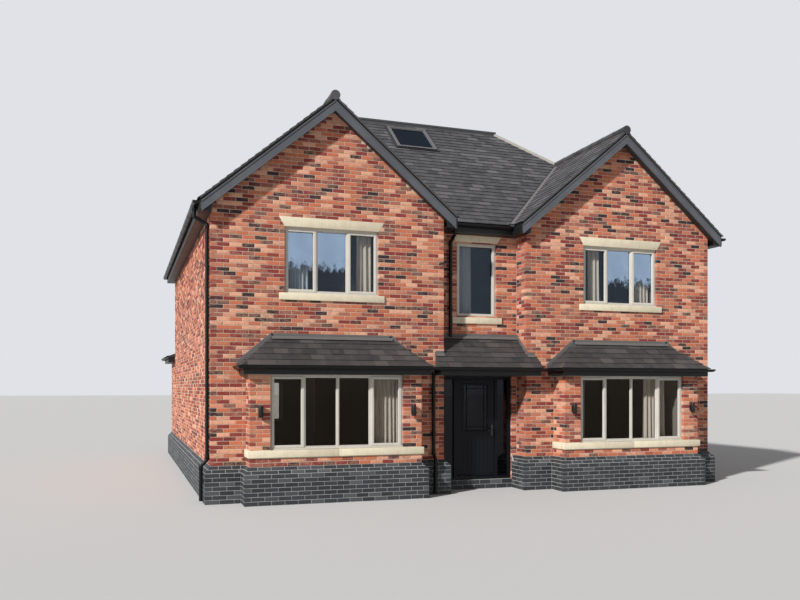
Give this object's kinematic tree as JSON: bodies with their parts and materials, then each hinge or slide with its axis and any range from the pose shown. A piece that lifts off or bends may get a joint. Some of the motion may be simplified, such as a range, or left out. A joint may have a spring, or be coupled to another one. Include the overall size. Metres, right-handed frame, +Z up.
{
  "type": "detached house",
  "caption": "Detached brick house with gabled front wings, ground-floor bay windows, a recessed front door under a tiled canopy and a flat-topped hipped roof; the front door opens.",
  "frame": {"origin": "middle of the whole footprint, gutters and eaves included, at ground level", "axes": "+Z up, the front with the door and the bays faces -Y, +X to the right seen from the front"},
  "size_m": [11.514, 13.094, 8.5758],
  "materials": {
    "red_brick": "rough red multi facing brick with pale mortar joints",
    "blue_brick": "smooth blue-grey engineering brick with pale mortar joints",
    "concrete": "power-floated concrete",
    "floor_deck": "plain boarded floor",
    "cast_stone": "fine cream cast stone",
    "window_frame": "satin cream-grey window frame",
    "glass": "clear sealed double glazing",
    "roof_tile": "dark grey flat roof tile, slightly rough",
    "flat_roof": "dark grey single-ply roofing",
    "lead": "dull weathered sheet lead",
    "grey_board": "satin anthracite grey board",
    "dark_board": "satin near-black board",
    "black_gutter": "semi-gloss black rainwater goods",
    "door_paint": "satin near-black paint",
    "door_metal": "black lever handle",
    "lamp_metal": "satin black lamp body",
    "roof_window_metal": "grey coated metal"
  },
  "bodies": {
    "house": {"left_bay_wall": "red_brick", "right_bay_wall": "red_brick", "wing_front_piers": "red_brick", "left_gable_wall": "red_brick", "right_gable_wall": "red_brick", "wing_return_walls": "red_brick", "doorway_piers": "red_brick", "recess_wall": "red_brick", "left_side_wall": "red_brick", "right_side_wall": "red_brick", "rear_ground_wall": "red_brick", "rear_upper_wall": "red_brick", "extension_walls": "red_brick", "left_front_plinth": "blue_brick", "right_front_plinth": "blue_brick", "side_plinths": "blue_brick", "rear_plinth": "blue_brick", "door_threshold": "blue_brick", "ground_floor": "concrete", "first_floor": "floor_deck", "loft_floor": "floor_deck", "bay_sills": "cast_stone", "upper_window_sills": "cast_stone", "upper_window_lintels": "cast_stone", "rear_sills_and_lintels": "cast_stone", "bay_window_frames": "window_frame", "upper_window_frames": "window_frame", "rear_window_frames": "window_frame", "front_window_glass": "glass", "rear_window_glass": "glass", "front_roof_slope": "roof_tile", "left_roof_slope": "roof_tile", "right_roof_slope": "roof_tile", "rear_roof_slope": "roof_tile", "left_wing_roof": "roof_tile", "right_wing_roof": "roof_tile", "gable_ridges": "roof_tile", "bay_roofs": "roof_tile", "canopy_roof": "roof_tile", "extension_roof": "roof_tile", "crown_roof": "flat_roof", "hip_caps": "lead", "lead_flashings": "lead", "barge_boards": "grey_board", "eaves_boards": "dark_board", "bay_eaves": "dark_board", "canopy_eaves": "dark_board", "extension_eaves": "dark_board", "roof_gutters": "black_gutter", "low_gutters": "black_gutter", "downpipes": "black_gutter", "door_screen": "door_paint", "wall_lamps": "lamp_metal", "roof_window_frame": "roof_window_metal"},
    "front_door": {"front_door": "door_paint", "door_glass": "glass", "door_handles": "door_metal"}
  },
  "joints": [
    {"name": "front_door_hinge", "type": "hinge", "parent": "house", "child": "front_door", "pos_m": [-0.426, -5.247, 1.2], "axis": [0, 0, 1], "range_deg": [0, 90]}
  ]
}
